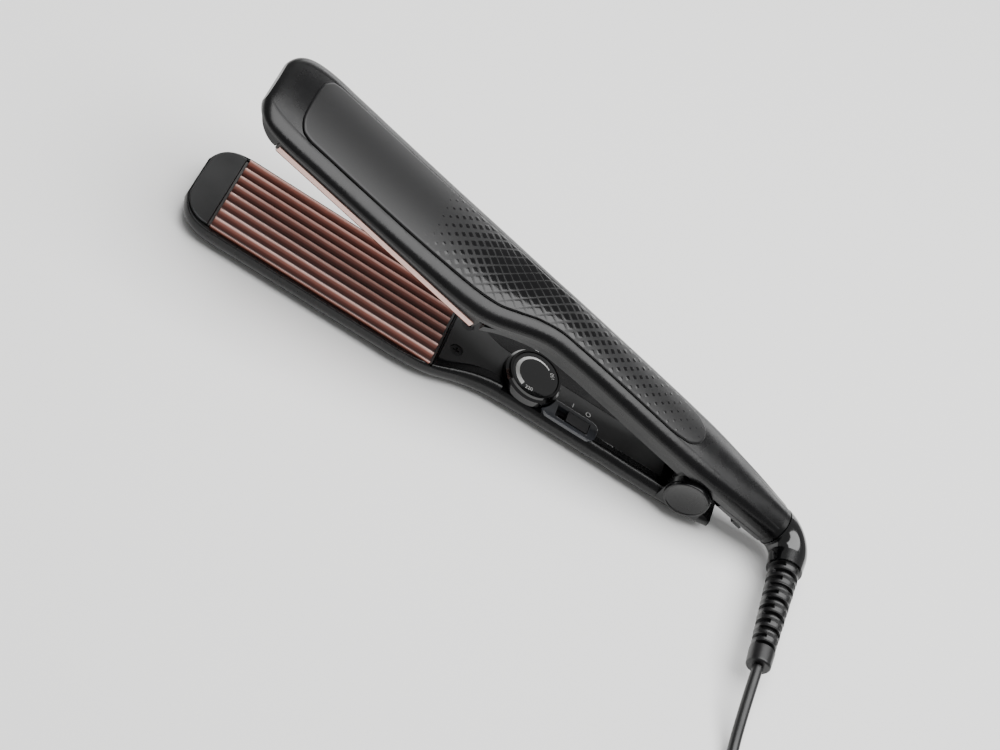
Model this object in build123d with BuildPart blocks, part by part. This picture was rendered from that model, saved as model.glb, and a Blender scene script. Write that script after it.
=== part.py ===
"""Hair crimper: two hinged arms with ribbed heating plates, a swivel cord, a dial and a slide switch.

Everything is in millimetres, +Z up, with the tool lying open on its lower arm.
X runs from the tips to the cord end, Y across the plates, and the origin is under the
middle of the tool on the surface it lies on.  Places along an arm are given as the
distance behind the front edge of the plates, and heights as the distance above the
closing plane, where the two plates meet.  The upper arm is drawn closed and then opened.
"""

from build123d import *
from math import ceil, pi, radians, tan
import os

os.makedirs("parts", exist_ok=True)

# Driving dimensions
PLATE_FRONT = -145.4  # X of the front edge of the plates
CLOSING_Z = 13.0  # height of the closing plane above the table
OPENING_ANGLE = 14.1  # how far the arms stand open, degrees
HINGE_AT = 239.0  # hinge axis behind the plates' front edge
HINGE_UP = 5.4  # hinge axis above the closing plane

PLATE_LENGTH = 110.0
CREST_PITCH = 5.575
CREST_HEIGHT = 2.6
CREST_ROUND = 0.55
CREST_COUNT = 8  # valleys in the lower plate, crests on the upper one
PLATE_HALF = CREST_PITCH * CREST_COUNT / 2
PLATE_GAP = 0.6  # left between the closed plates
WALL = 1.6
PANEL_THICK = 1.2

EAR_RADIUS = 10.8
EAR_INSIDE = 11.9
EAR_OUTSIDE = 14.85
PIN_RADIUS = 2.5
KNUCKLE_HALF = 11.5
PIN_CLEARANCE = 0.06

DIAL_AT = 154.0
DIAL_RADIUS = 13.8
DIAL_TOP = 5.3
DIAL_SEAT = -1.2
SWITCH_AT = 177.3
SWITCH_Y = -7.3
SWITCH_TRAVEL = 5.0
SLOT_AT = 178.7
SCREW_AT = 118.2
SCREW_Y = 8.2

REAR_AT = 280.0  # rear end of the upper arm, where the swivel starts
REAR_UP = 15.3  # height of the swivel axis above the closing plane
REAR_RADIUS = 10.0
ELBOW_BEND = 11.0

CORD_RADIUS = 2.5
COIL_RADIUS = 28.0
COIL_THICK = 15.0

# The arm's casings, one row for each place along the arm where the section changes
LOWER_STATIONS = [
    # at, half width, half width of the flat top, top, widest height, half width of the sole, sole,
    # then the far side's half width and half width of the flat top
    (-15.5, 12.5, 11.0, -1.8, -4.2, 6.0, -7.2, 12.5, 11.0),
    (-13.5, 17.4, 16.0, -1.6, -4.3, 9.0, -9.2, 17.4, 16.0),
    (-8.5, 22.6, 21.6, -1.6, -4.4, 13.0, -11.8, 22.6, 21.6),
    (2.0, 25.0, 24.2, -1.6, -4.5, 15.6, -13.25, 25.0, 24.2),
    (50.0, 25.0, 24.2, -1.6, -4.5, 15.6, -13.25, 25.0, 24.2),
    (97.0, 25.0, 24.2, -1.6, -4.5, 15.6, -13.25, 25.0, 24.2),
    (111.0, 23.3, 21.6, -1.3, -4.6, 14.0, -13.25, 24.4, 23.0),
    (125.0, 18.3, 15.2, -0.6, -4.8, 10.0, -13.25, 21.4, 19.8),
    (139.0, 15.0, 11.3, 0.0, -4.9, 7.2, -13.25, 18.8, 17.4),
    (155.0, 14.3, 10.4, 0.0, -4.8, 6.0, -13.25, 18.3, 16.9),
    (195.0, 14.3, 10.4, 0.0, -4.8, 4.6, -13.25, 17.4, 16.0),
    (232.0, 14.5, 10.4, 0.0, -4.8, 4.4, -12.7, 14.7, 12.6),
    (248.0, 14.2, 10.0, -0.8, -5.2, 4.4, -11.2, 14.4, 10.0),
    (256.5, 12.4, 8.6, -3.2, -6.4, 4.4, -9.2, 12.6, 8.6),
]
UPPER_STATIONS = [
    # at, half width, rim, widest height, half width of the panel, panel edge, crown
    (-17.0, 12.5, 6.2, 7.6, 8.5, 9.4, 9.9),
    (-14.6, 18.2, 6.4, 7.8, 12.4, 10.8, 11.6),
    (-8.5, 23.0, 6.8, 8.2, 16.0, 12.0, 13.2),
    (3.0, 25.0, 7.1, 8.5, 17.9, 12.7, 14.3),
    (50.0, 25.0, 7.2, 8.6, 17.9, 12.9, 14.7),
    (92.0, 24.9, 7.3, 8.8, 17.8, 14.0, 15.8),
    (109.0, 23.8, 7.8, 9.8, 16.9, 15.4, 17.1),
    (120.0, 21.2, 9.4, 12.0, 14.6, 17.9, 19.3),
    (130.0, 18.2, 12.0, 15.0, 11.8, 20.6, 21.8),
    (142.0, 15.9, 14.0, 17.6, 9.9, 22.8, 23.9),
    (165.0, 15.3, 14.8, 18.4, 9.7, 23.5, 24.6),
    (200.0, 15.3, 15.0, 18.6, 9.7, 23.9, 25.0),
    (228.0, 14.9, 14.8, 18.3, 9.6, 24.1, 25.3),
    (255.0, 12.7, 13.6, 16.8, 8.4, 23.9, 25.4),
    (REAR_AT, 10.0, 12.9, 15.3, 6.9, 22.5, 25.3),
]
COVER_OUTLINE = [(112.4, 17.2), (118.0, 15.4), (124.5, 11.9), (133.0, 8.6), (143.0, 7.6)]
COVER_REAR = 226.0
PANEL_SIDE = [(1.0, 13.4), (3.4, 16.6), (8.0, 17.7), (60.0, 17.9), (96.0, 17.6)]
PANEL_WAIST = [(110.0, 16.6), (120.0, 13.9), (130.0, 11.0), (142.0, 9.6), (180.0, 9.4)]
PANEL_REAR = [(205.0, 9.5), (217.0, 8.2), (222.0, 5.0)]
TIP_OUTLINE = [(-14.7, 11.2), (-12.7, 16.4), (-8.2, 20.9), (-3.0, 22.3)]

hinge_x = PLATE_FRONT + HINGE_AT
hinge_z = CLOSING_Z + HINGE_UP
swivel_z = CLOSING_Z + REAR_UP

# The upper arm swings up at its tips about the hinge, which carries its rear end down
to_hinge = Location((hinge_x, 0, hinge_z))
OPENED = to_hinge * Location((0, 0, 0), (0, OPENING_ANGLE, 0)) * to_hinge.inverse()


def across(at):
    """Plane across the arm at a distance behind the plates' front edge: local x is Y, local y is Z."""
    return Plane.YZ.offset(PLATE_FRONT + at)


def beside(y):
    """Plane along the arm at a given Y, seen from the -Y side: local x is X, local y is Z."""
    return Plane.XZ.offset(-y)


def level(up):
    """Plane parallel to the table at a height above the closing plane."""
    return Plane.XY.offset(CLOSING_Z + up)


def place(at, y=0.0):
    """Point in a level plane."""
    return (PLATE_FRONT + at, y)


def eased(stations, spacing=11.0):
    """Stations filled in between along a monotone cubic through each column, so nothing bulges between them."""
    ats = [station[0] for station in stations]
    steps = [after - before for before, after in zip(ats, ats[1:])]
    filled = []
    for step, start in zip(steps, ats):
        pieces = ceil(step / spacing)
        filled += [start + step * piece / pieces for piece in range(pieces)]
    filled.append(ats[-1])
    columns = [filled]
    for column in list(zip(*stations))[1:]:
        rises = [(after - before) / step for before, after, step in zip(column, column[1:], steps)]
        inner = [2 * a * b / (a + b) if a * b > 0 else 0.0 for a, b in zip(rises, rises[1:])]
        slopes = [rises[0], *inner, rises[-1]]
        values = []
        for at in filled:
            k = min(sum(at >= other for other in ats), len(ats) - 1) - 1
            t = (at - ats[k]) / steps[k]
            start = column[k] * (1 + 2 * t) * (1 - t) ** 2 + slopes[k] * steps[k] * t * (1 - t) ** 2
            end = column[k + 1] * t * t * (3 - 2 * t) - slopes[k + 1] * steps[k] * t * t * (1 - t)
            values.append(start + end)
        columns.append(values)
    return list(zip(*columns))


def quarter(corner, widest):
    """Quarter of a rounded section, flat at the corner and upright at the widest point."""
    (y0, z0), (y1, z1) = corner, widest
    Bezier((y0, z0), (y0 + 0.55 * (y1 - y0), z0), (y1, z1 + 0.45 * (z0 - z1)), (y1, z1))


def lower_section(station, inset=0.0, open_up=0.0):
    """Section of the lower arm's casing, or of its cavity when inset by the wall."""
    at, half, top_half, top, widest, sole_half, sole, far_half, far_top = station
    half, top_half, sole_half = half - inset, top_half - inset, sole_half - 0.5 * inset
    far_half, far_top = far_half - inset, far_top - inset
    top, widest, sole = CLOSING_Z + top - inset + open_up, CLOSING_Z + widest, CLOSING_Z + sole + inset
    with BuildSketch(across(at)) as section:
        with BuildLine():
            Line((-top_half, top), (far_top, top))
            quarter((far_top, top), (far_half, widest))
            quarter((sole_half, sole), (far_half, widest))
            Line((sole_half, sole), (-sole_half, sole))
            quarter((-sole_half, sole), (-half, widest))
            quarter((-top_half, top), (-half, widest))
        make_face()
    return section.sketch


def upper_section(station, inset=0.0, top_inset=0.0, drop=0.0):
    """Section of the upper arm's casing, or of its cavity when inset by the wall and open below."""
    at, half, rim, widest, panel_half, panel, crown = station
    half, panel_half = half - inset, panel_half - 0.6 * inset
    rim, widest = CLOSING_Z + rim - drop, CLOSING_Z + widest - 0.3 * inset
    panel, crown = CLOSING_Z + panel - top_inset, CLOSING_Z + crown - top_inset
    rim_half = half - 0.3
    with BuildSketch(across(at)) as section:
        with BuildLine():
            Line((-rim_half, rim), (rim_half, rim))
            for side in (1, -1):
                Line((side * rim_half, rim), (side * half, widest))
                Bezier(
                    (side * half, widest),
                    (side * half, widest + 0.6 * (panel - widest)),
                    (side * (panel_half + 0.35 * (half - panel_half)), panel),
                    (side * panel_half, panel),
                )
            ThreePointArc((panel_half, panel), (0, crown), (-panel_half, panel))
        make_face()
    return section.sketch


def mirrored_outline(side, front, rear):
    """Closed plan outline through points on one side and their mirror images on the other."""
    points = [place(at, y) for at, y in side]
    other = [(x, -y) for x, y in points]
    if front:
        ThreePointArc(other[0], place(*front), points[0])
    else:
        Line(other[0], points[0])
    Spline(*points)
    if rear:
        ThreePointArc(points[-1], place(*rear), other[-1])
    else:
        Line(points[-1], other[-1])
    Spline(*other)


# Solids that several pieces are cut from
lower_rows = eased(LOWER_STATIONS)
upper_rows = eased(UPPER_STATIONS)
lower_hollow = [row for row in lower_rows if -13.5 <= row[0] <= 248]
upper_hollow = [row for row in upper_rows if -14.6 <= row[0] <= 255]

with BuildPart() as lower_form:
    loft([lower_section(row) for row in lower_rows])

with BuildPart() as lower_cavity:
    loft([lower_section(row, inset=WALL) for row in lower_hollow])

with BuildPart() as upper_form:
    loft([upper_section(row) for row in upper_rows])

with BuildPart() as upper_cavity:
    loft([upper_section(row, WALL, PANEL_THICK + WALL, 2.0) for row in upper_hollow])

with BuildPart() as panel_prism:
    with BuildSketch(Plane.XY):
        with BuildLine():
            mirrored_outline(PANEL_SIDE + PANEL_WAIST + PANEL_REAR, (-0.8, 0), (223.5, 0))
        make_face()
    extrude(amount=60)


# Upper arm's outer casing, open below, with a pocket for the trim panel and an arch over the hinge
with BuildPart() as panel_pocket:
    add(panel_prism.part)
    add(upper_form.part.moved(Location((0, 0, -PANEL_THICK - 0.05))), mode=Mode.SUBTRACT)

with BuildPart() as upper_shell:
    add(upper_form.part)
    add(upper_cavity.part, mode=Mode.SUBTRACT)
    add(panel_pocket.part, mode=Mode.SUBTRACT)
    with BuildSketch(beside(0)):
        with Locations((hinge_x, hinge_z)):
            Circle(EAR_RADIUS + 0.6)
    extrude(amount=30, both=True, mode=Mode.SUBTRACT)
    with BuildSketch(across(REAR_AT + 1)):
        with Locations((0, swivel_z)):
            Circle(REAR_RADIUS - WALL - 0.2)
    extrude(amount=-56, mode=Mode.SUBTRACT)
upper_shell.part.move(OPENED)
upper_shell.part.label = "upper_shell"
export_step(upper_shell.part, "parts/upper_shell.step")

# Trim panel let into the top of the upper casing
with BuildPart() as upper_panel:
    add(upper_form.part)
    add(panel_prism.part, mode=Mode.INTERSECT)
    add(upper_form.part.moved(Location((0, 0, -PANEL_THICK))), mode=Mode.SUBTRACT)
upper_panel.part.move(OPENED)
upper_panel.part.label = "upper_panel"
export_step(upper_panel.part, "parts/upper_panel.step")


def cover_band(station, inset, low, high):
    """Flat band across the upper arm, set in from the casing's rim and between two heights from it."""
    at, half, rim = station[:3]
    with BuildSketch(across(at)) as section:
        with Locations((0, CLOSING_Z + rim + (low + high) / 2)):
            Rectangle(2 * (half - inset), high - low)
    return section.sketch


# Underside cover of the upper handle: a tray that stands a little out of the casing's rim
cover_rows = [row for row in upper_rows if 105 < row[0] < 235]
cover_length = COVER_REAR - 113.0
with BuildPart() as cover_room:
    loft([cover_band(row, 2.6, -1.9, 3.0) for row in cover_rows])

with BuildPart() as upper_inner_cover:
    loft([cover_band(row, 0.8, -3.4, -0.1) for row in cover_rows])
    loft([cover_band(row, 1.9, -0.5, 1.0) for row in cover_rows])
    add(cover_room.part, mode=Mode.SUBTRACT)
    with Locations((PLATE_FRONT + 113.0 + cover_length / 2, 0, CLOSING_Z + 12)):
        Box(cover_length, 60, 40, mode=Mode.INTERSECT)
upper_inner_cover.part.move(OPENED)
upper_inner_cover.part.label = "upper_inner_cover"
export_step(upper_inner_cover.part, "parts/upper_inner_cover.step")


def ribbed_plate(valley, crest, back):
    """Outline of a plate across the arm: a zigzag face of rounded crests and a flat back."""
    points = []
    for k in range(2 * CREST_COUNT + 1):
        up = valley if k % 2 else crest
        points.append((-PLATE_HALF + k * CREST_PITCH / 2, CLOSING_Z + up))
    back_z = CLOSING_Z + back
    FilletPolyline(*points, radius=CREST_ROUND)
    Polyline(points[-1], (PLATE_HALF, back_z), (-PLATE_HALF, back_z), points[0])


PLATE_BACK = 4.6
UPPER_BACK = 3.4
with BuildPart() as lower_plate:
    with BuildSketch(across(0)):
        with BuildLine():
            ribbed_plate(-CREST_HEIGHT, 0.0, -PLATE_BACK)
        make_face()
    extrude(amount=PLATE_LENGTH)
lower_plate.part.label = "lower_plate"
export_step(lower_plate.part, "parts/lower_plate.step")

with BuildPart() as upper_plate:
    with BuildSketch(across(0)):
        with BuildLine():
            ribbed_plate(PLATE_GAP - CREST_HEIGHT, PLATE_GAP, UPPER_BACK)
        make_face()
    extrude(amount=PLATE_LENGTH)
upper_plate.part.move(OPENED)
upper_plate.part.label = "upper_plate"
export_step(upper_plate.part, "parts/upper_plate.step")


# Heat-resistant carriers behind the plates, with a window for the heater and a wall at each end
CARRIER_THICK = 2.4
CARRIER_HALF = 21.6
CARRIER_END = 1.1
HEATER_LENGTH = 80.0
HEATER_WIDTH = 18.0
HEATER_THICK = 2.2
POST_RADIUS = 2.4
plate_mid = PLATE_FRONT + PLATE_LENGTH / 2
carrier_length = PLATE_LENGTH + 2 * CARRIER_END + 0.2

with BuildPart() as lower_plate_carrier:
    with BuildSketch(level(-PLATE_BACK)):
        with Locations((plate_mid, 0)):
            Rectangle(carrier_length, 2 * CARRIER_HALF)
            Rectangle(HEATER_LENGTH + 0.4, HEATER_WIDTH + 0.4, mode=Mode.SUBTRACT)
    extrude(amount=-CARRIER_THICK)
    with BuildSketch(level(-PLATE_BACK - 0.1)):
        with Locations((plate_mid, 0)):
            with GridLocations(carrier_length - CARRIER_END, 0, 2, 1):
                Rectangle(CARRIER_END, 2 * CARRIER_HALF)
    extrude(amount=PLATE_BACK - 1.5)
    with BuildSketch(level(-PLATE_BACK - CARRIER_THICK)):
        with Locations((plate_mid, 0)):
            with GridLocations(90, 26, 2, 2):
                Circle(POST_RADIUS)
    extrude(amount=-(CLOSING_Z - PLATE_BACK - CARRIER_THICK - WALL))
lower_plate_carrier.part.label = "lower_plate_carrier"
export_step(lower_plate_carrier.part, "parts/lower_plate_carrier.step")

with BuildPart() as upper_plate_carrier:
    with BuildSketch(level(UPPER_BACK)):
        with Locations((plate_mid, 0)):
            Rectangle(carrier_length, 2 * CARRIER_HALF)
            Rectangle(HEATER_LENGTH + 0.4, HEATER_WIDTH + 0.4, mode=Mode.SUBTRACT)
    extrude(amount=CARRIER_THICK)
    with BuildSketch(level(0.9)):
        with Locations((plate_mid, 0)):
            with GridLocations(carrier_length - CARRIER_END, 0, 2, 1):
                Rectangle(CARRIER_END, 2 * CARRIER_HALF)
    extrude(amount=UPPER_BACK)
    with BuildSketch(level(UPPER_BACK + 0.5)):
        with Locations((plate_mid, 0)):
            Rectangle(carrier_length, 2 * CARRIER_HALF)
            Rectangle(carrier_length - 2.4, 2 * CARRIER_HALF - 2.4, mode=Mode.SUBTRACT)
    extrude(amount=4.4)
upper_plate_carrier.part.move(OPENED)
upper_plate_carrier.part.label = "upper_plate_carrier"
export_step(upper_plate_carrier.part, "parts/upper_plate_carrier.step")


def heater_bar(up):
    """Flat ceramic heater bar lying in the carrier's window."""
    with BuildPart() as bar:
        with Locations((plate_mid, 0, CLOSING_Z + up)):
            Box(HEATER_LENGTH, HEATER_WIDTH, HEATER_THICK, align=(Align.CENTER, Align.CENTER, Align.MIN))
        fillet(bar.edges().filter_by(Axis.Z), 1.5)
    return bar.part


with BuildPart() as lower_heater:
    add(heater_bar(-PLATE_BACK - HEATER_THICK))
lower_heater.part.label = "lower_heater"
export_step(lower_heater.part, "parts/lower_heater.step")

with BuildPart() as upper_heater:
    add(heater_bar(UPPER_BACK))
upper_heater.part.move(OPENED)
upper_heater.part.label = "upper_heater"
export_step(upper_heater.part, "parts/upper_heater.step")


def clamp_strip(base, bow):
    """Bowed steel strip that holds the heater against the plate's back."""
    with BuildPart() as strip:
        with BuildSketch(beside(5.0)):
            with BuildLine():
                ends = [(plate_mid - 48, base), (plate_mid + 48, base)]
                ThreePointArc(ends[0], (plate_mid, base + bow), ends[1])
                offset(amount=0.4, side=Side.BOTH)
            make_face()
        extrude(amount=10)
    return strip.part


with BuildPart() as lower_heater_clamp:
    add(clamp_strip(CLOSING_Z - PLATE_BACK - CARRIER_THICK - 1.9, 1.3))
lower_heater_clamp.part.label = "lower_heater_clamp"
export_step(lower_heater_clamp.part, "parts/lower_heater_clamp.step")

with BuildPart() as upper_heater_clamp:
    add(clamp_strip(CLOSING_Z + UPPER_BACK + CARRIER_THICK + 1.9, -1.3))
upper_heater_clamp.part.move(OPENED)
upper_heater_clamp.part.label = "upper_heater_clamp"
export_step(upper_heater_clamp.part, "parts/upper_heater_clamp.step")


def tip_outline(margin):
    """Plan outline of a tip block, rounded at the front and square behind."""
    side = [(at + margin, y - margin) for at, y in TIP_OUTLINE[:-1]] + [(-3.0, 22.3 - margin)]
    points = [place(at, y) for at, y in side]
    other = [(x, -y) for x, y in points]
    rear = PLATE_FRONT - CARRIER_END - 0.4
    ThreePointArc(other[0], place(-15.0 + margin, 0), points[0])
    Spline(*points)
    Polyline(points[-1], (rear, 22.3 - margin), (rear, margin - 22.3), other[-1])
    Spline(*other)


with BuildPart() as lower_tip_block:
    with BuildSketch(level(-6.0)):
        with BuildLine():
            tip_outline(0.15)
        make_face()
    extrude(amount=5.6)
    fillet(lower_tip_block.edges().group_by(Axis.Z)[-1], 0.5)
lower_tip_block.part.label = "lower_tip_block"
export_step(lower_tip_block.part, "parts/lower_tip_block.step")

with BuildPart() as upper_tip_block:
    with BuildSketch(level(1.0)):
        with BuildLine():
            tip_outline(1.2)
        make_face()
    extrude(amount=7.6)
    add(upper_shell.part.moved(OPENED.inverse()), mode=Mode.SUBTRACT)
upper_tip_block.part.move(OPENED)
upper_tip_block.part.label = "upper_tip_block"
export_step(upper_tip_block.part, "parts/upper_tip_block.step")


# Inner cover of the lower handle, and the openings of the lower casing
def cover_outline(margin):
    """Plan outline of the lower inner cover: wide at the plate, narrow along the handle."""
    side = [(at - margin * (k == 0), y + margin) for k, (at, y) in enumerate(COVER_OUTLINE)]
    points = [place(at, y) for at, y in side]
    rear = place(COVER_REAR + margin, COVER_OUTLINE[-1][1] + margin)
    Spline(*points)
    Polyline(points[-1], rear, (rear[0], -rear[1]), (points[-1][0], -points[-1][1]))
    Spline(*[(x, -y) for x, y in points])
    Line((points[0][0], -points[0][1]), points[0])


BEZEL_LENGTH = 28.4
BEZEL_WIDTH = 11.0
BEZEL_CORNER = 4.0
SLOT_LENGTH = 16.8
SLOT_WIDTH = 6.2
COVER_THICK = 1.8
switch_xy = place(SWITCH_AT, SWITCH_Y)
slot_xy = place(SLOT_AT, SWITCH_Y)
dial_xy = place(DIAL_AT)
screw_spots = [place(SCREW_AT, SCREW_Y), place(SCREW_AT, -SCREW_Y)]

with BuildPart() as lower_shell:
    add(lower_form.part)
    add(lower_cavity.part, mode=Mode.SUBTRACT)
    # flat sole
    with BuildSketch(level(-CLOSING_Z)):
        Rectangle(600, 80)
    extrude(amount=60, mode=Mode.INTERSECT)
    with BuildSketch(level(-PLATE_BACK - 0.2)):
        with Locations((plate_mid, 0)):
            Rectangle(carrier_length + 0.8, 2 * PLATE_HALF + 0.6)
    extrude(amount=10, mode=Mode.SUBTRACT)
    with BuildSketch(level(-PLATE_BACK - CARRIER_THICK - 0.2)):
        with Locations((plate_mid, 0)):
            Rectangle(carrier_length + 0.4, 2 * CARRIER_HALF + 0.4)
    extrude(amount=10, mode=Mode.SUBTRACT)
    with BuildSketch(level(-6.0)):
        with BuildLine():
            tip_outline(0.0)
        make_face()
    extrude(amount=12, mode=Mode.SUBTRACT)
    with BuildSketch(level(-2.4)):
        with BuildLine():
            cover_outline(0.15)
        make_face()
    extrude(amount=10, mode=Mode.SUBTRACT)
    with BuildSketch(level(DIAL_SEAT)):
        with Locations(dial_xy):
            Circle(DIAL_RADIUS + 0.35)
        with Locations((dial_xy[0], -10)):
            Rectangle(20.8, 20)
    extrude(amount=10, mode=Mode.SUBTRACT)
    with BuildSketch(level(-4.0)):
        with Locations(switch_xy):
            RectangleRounded(BEZEL_LENGTH, BEZEL_WIDTH, BEZEL_CORNER)
    extrude(amount=10, mode=Mode.SUBTRACT)
    # ears either side of the upper arm's knuckle
    for side in (1, -1):
        with BuildSketch(beside(side * EAR_OUTSIDE)):
            with Locations((hinge_x, hinge_z)):
                Circle(EAR_RADIUS)
            with Locations((hinge_x, hinge_z - 5.2)):
                Rectangle(2 * EAR_RADIUS, 10.4)
        extrude(amount=side * (EAR_OUTSIDE - EAR_INSIDE))
    with BuildSketch(level(-4.0)):
        with Locations(((hinge_x + PLATE_FRONT + 262) / 2 - 4.5, 0)):
            Rectangle(262 - HINGE_AT + 20, 2 * EAR_INSIDE - 0.4)
    extrude(amount=26, mode=Mode.SUBTRACT)
    with BuildSketch(beside(0)):
        with Locations((hinge_x, hinge_z)):
            Circle(PIN_RADIUS)
    extrude(amount=30, both=True, mode=Mode.SUBTRACT)
    # bosses for the cover screws
    with BuildSketch(level(-CLOSING_Z + 1.0)):
        with Locations(*screw_spots):
            Circle(2.9)
    extrude(amount=CLOSING_Z - 3.4)
    with BuildSketch(level(-CLOSING_Z + 4)):
        with Locations(*screw_spots):
            Circle(1.3)
    extrude(amount=12, mode=Mode.SUBTRACT)
lower_shell.part.label = "lower_shell"
export_step(lower_shell.part, "parts/lower_shell.step")

with BuildPart() as lower_inner_cover:
    with BuildSketch(level(-0.1 - COVER_THICK)):
        with BuildLine():
            cover_outline(0.0)
        make_face()
    extrude(amount=COVER_THICK)
    with BuildSketch(level(DIAL_SEAT)):
        with Locations(dial_xy):
            Circle(DIAL_RADIUS + 0.35)
    extrude(amount=5, mode=Mode.SUBTRACT)
    with BuildSketch(level(-4)):
        with Locations(dial_xy):
            Circle(3.4)
        with Locations(switch_xy):
            RectangleRounded(BEZEL_LENGTH, BEZEL_WIDTH, BEZEL_CORNER)
        with Locations(*screw_spots):
            Circle(1.5)
    extrude(amount=10, mode=Mode.SUBTRACT)
    with BuildSketch(level(-1.3)):
        with Locations(*screw_spots):
            Circle(3.1)
    extrude(amount=3, mode=Mode.SUBTRACT)
lower_inner_cover.part.label = "lower_inner_cover"
export_step(lower_inner_cover.part, "parts/lower_inner_cover.step")

# Cover screws: flat heads with a cross recess in shallow wells
with BuildPart() as cover_screws:
    with BuildSketch(level(-1.3)):
        with Locations(*screw_spots):
            Circle(2.9)
    extrude(amount=0.9)
    with BuildSketch(level(-1.0)):
        with Locations(*screw_spots):
            Circle(1.2)
    extrude(amount=-7)
    with BuildSketch(level(-1.0)):
        with Locations(*screw_spots):
            Rectangle(3.4, 0.8)
            Rectangle(0.8, 3.4)
    extrude(amount=2, mode=Mode.SUBTRACT)
cover_screws.part.label = "cover_screws"
export_step(cover_screws.part, "parts/cover_screws.step")

# Temperature dial: turned profile with a stepped rim, and a printed face let into its top
with BuildPart() as temperature_dial:
    with BuildSketch(Plane.XZ):
        with BuildLine():
            Polyline(
                (3.05, DIAL_SEAT + 0.3),
                (DIAL_RADIUS - 0.5, DIAL_SEAT + 0.3),
                (DIAL_RADIUS, DIAL_SEAT + 0.8),
                (DIAL_RADIUS, DIAL_TOP - 2.2),
                (DIAL_RADIUS - 1.0, DIAL_TOP - 1.2),
                (DIAL_RADIUS - 1.3, DIAL_TOP),
                (DIAL_RADIUS - 2.3, DIAL_TOP),
                (DIAL_RADIUS - 2.6, DIAL_TOP - 1.3),
                (0, DIAL_TOP - 1.3),
                (0, DIAL_TOP - 2.8),
                (3.05, DIAL_TOP - 2.8),
                close=True,
            )
        make_face()
    revolve(axis=Axis.Z)
dial_place = Location((*dial_xy, CLOSING_Z))
temperature_dial.part.move(dial_place)
temperature_dial.part.label = "temperature_dial"
export_step(temperature_dial.part, "parts/temperature_dial.step")

with BuildPart() as dial_face:
    with BuildSketch(level(DIAL_TOP - 1.3)):
        with Locations(dial_xy):
            Circle(DIAL_RADIUS - 2.7)
    extrude(amount=0.8)
dial_face.part.label = "dial_face"
export_step(dial_face.part, "parts/dial_face.step")

# Control board in the lower handle, with the dial's potentiometer and the slide switch
BOARD_TOP = -8.5
with BuildPart() as dial_shaft:
    with BuildSketch(level(BOARD_TOP + 1.5)):
        with Locations(dial_xy):
            Circle(3.0)
    extrude(amount=DIAL_TOP - 2.9 - BOARD_TOP - 1.5)
dial_shaft.part.label = "dial_shaft"
export_step(dial_shaft.part, "parts/dial_shaft.step")

with BuildPart() as potentiometer:
    with BuildSketch(level(BOARD_TOP)):
        with Locations(dial_xy):
            RectangleRounded(16, 15, 1.5)
    extrude(amount=5.5)
    with BuildSketch(level(BOARD_TOP + 1.4)):
        with Locations(dial_xy):
            Circle(3.0 + PIN_CLEARANCE)
    extrude(amount=8, mode=Mode.SUBTRACT)
potentiometer.part.label = "potentiometer"
export_step(potentiometer.part, "parts/potentiometer.step")

with BuildPart() as circuit_board:
    with BuildSketch(level(BOARD_TOP - 1.6)):
        with Locations(place(183.0)):
            Rectangle(78, 14)
    extrude(amount=1.6)
circuit_board.part.label = "circuit_board"
export_step(circuit_board.part, "parts/circuit_board.step")

with BuildPart() as board_components:
    with BuildSketch(level(BOARD_TOP)):
        with Locations(place(205.0, 2.0)):
            Rectangle(11, 9)
        with Locations(place(215.5, -3.0), place(215.5, 4.0)):
            Circle(2.6)
        with Locations(place(193.0, 3.5)):
            Rectangle(8, 4)
    extrude(amount=5)
board_components.part.label = "board_components"
export_step(board_components.part, "parts/board_components.step")

with BuildPart() as switch_body:
    with BuildSketch(level(BOARD_TOP)):
        with Locations(place(SLOT_AT, SWITCH_Y + 1.6)):
            Rectangle(20, 7.4)
    extrude(amount=5.4)
    with BuildSketch(level(BOARD_TOP + 3)):
        with Locations(slot_xy):
            Rectangle(12, 3.4)
    extrude(amount=5, mode=Mode.SUBTRACT)
switch_body.part.label = "switch_body"
export_step(switch_body.part, "parts/switch_body.step")

with BuildPart() as switch_bezel:
    with BuildSketch(level(-2.6)):
        with Locations(switch_xy):
            RectangleRounded(BEZEL_LENGTH - 0.2, BEZEL_WIDTH - 0.2, BEZEL_CORNER - 0.1)
        with Locations(slot_xy):
            Rectangle(SLOT_LENGTH, SLOT_WIDTH, mode=Mode.SUBTRACT)
        with Locations(dial_xy):
            Circle(DIAL_RADIUS + 0.35, mode=Mode.SUBTRACT)
    extrude(amount=3.1)
    fillet(switch_bezel.edges().group_by(Axis.Z)[-1], 0.4)
switch_bezel.part.label = "switch_bezel"
export_step(switch_bezel.part, "parts/switch_bezel.step")

slider_xy = place(SLOT_AT + SWITCH_TRAVEL / 2, SWITCH_Y)
with BuildPart() as switch_slider:
    with BuildSketch(level(-2.2)):
        with Locations(slider_xy):
            Rectangle(11, SLOT_WIDTH - 0.6)
    extrude(amount=2.9)
    with BuildSketch(level(BOARD_TOP + 3.4)):
        with Locations(slider_xy):
            Rectangle(5, 2.6)
    extrude(amount=4.4)
switch_slider.part.label = "switch_slider"
export_step(switch_slider.part, "parts/switch_slider.step")


# Hinge: a steel pin through the ears and the upper arm's knuckle, a cap over each end
with BuildPart() as hinge_pin:
    with BuildSketch(beside(0)):
        with Locations((hinge_x, hinge_z)):
            Circle(PIN_RADIUS)
    extrude(amount=EAR_OUTSIDE - 0.1, both=True)
hinge_pin.part.label = "hinge_pin"
export_step(hinge_pin.part, "parts/hinge_pin.step")

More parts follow.
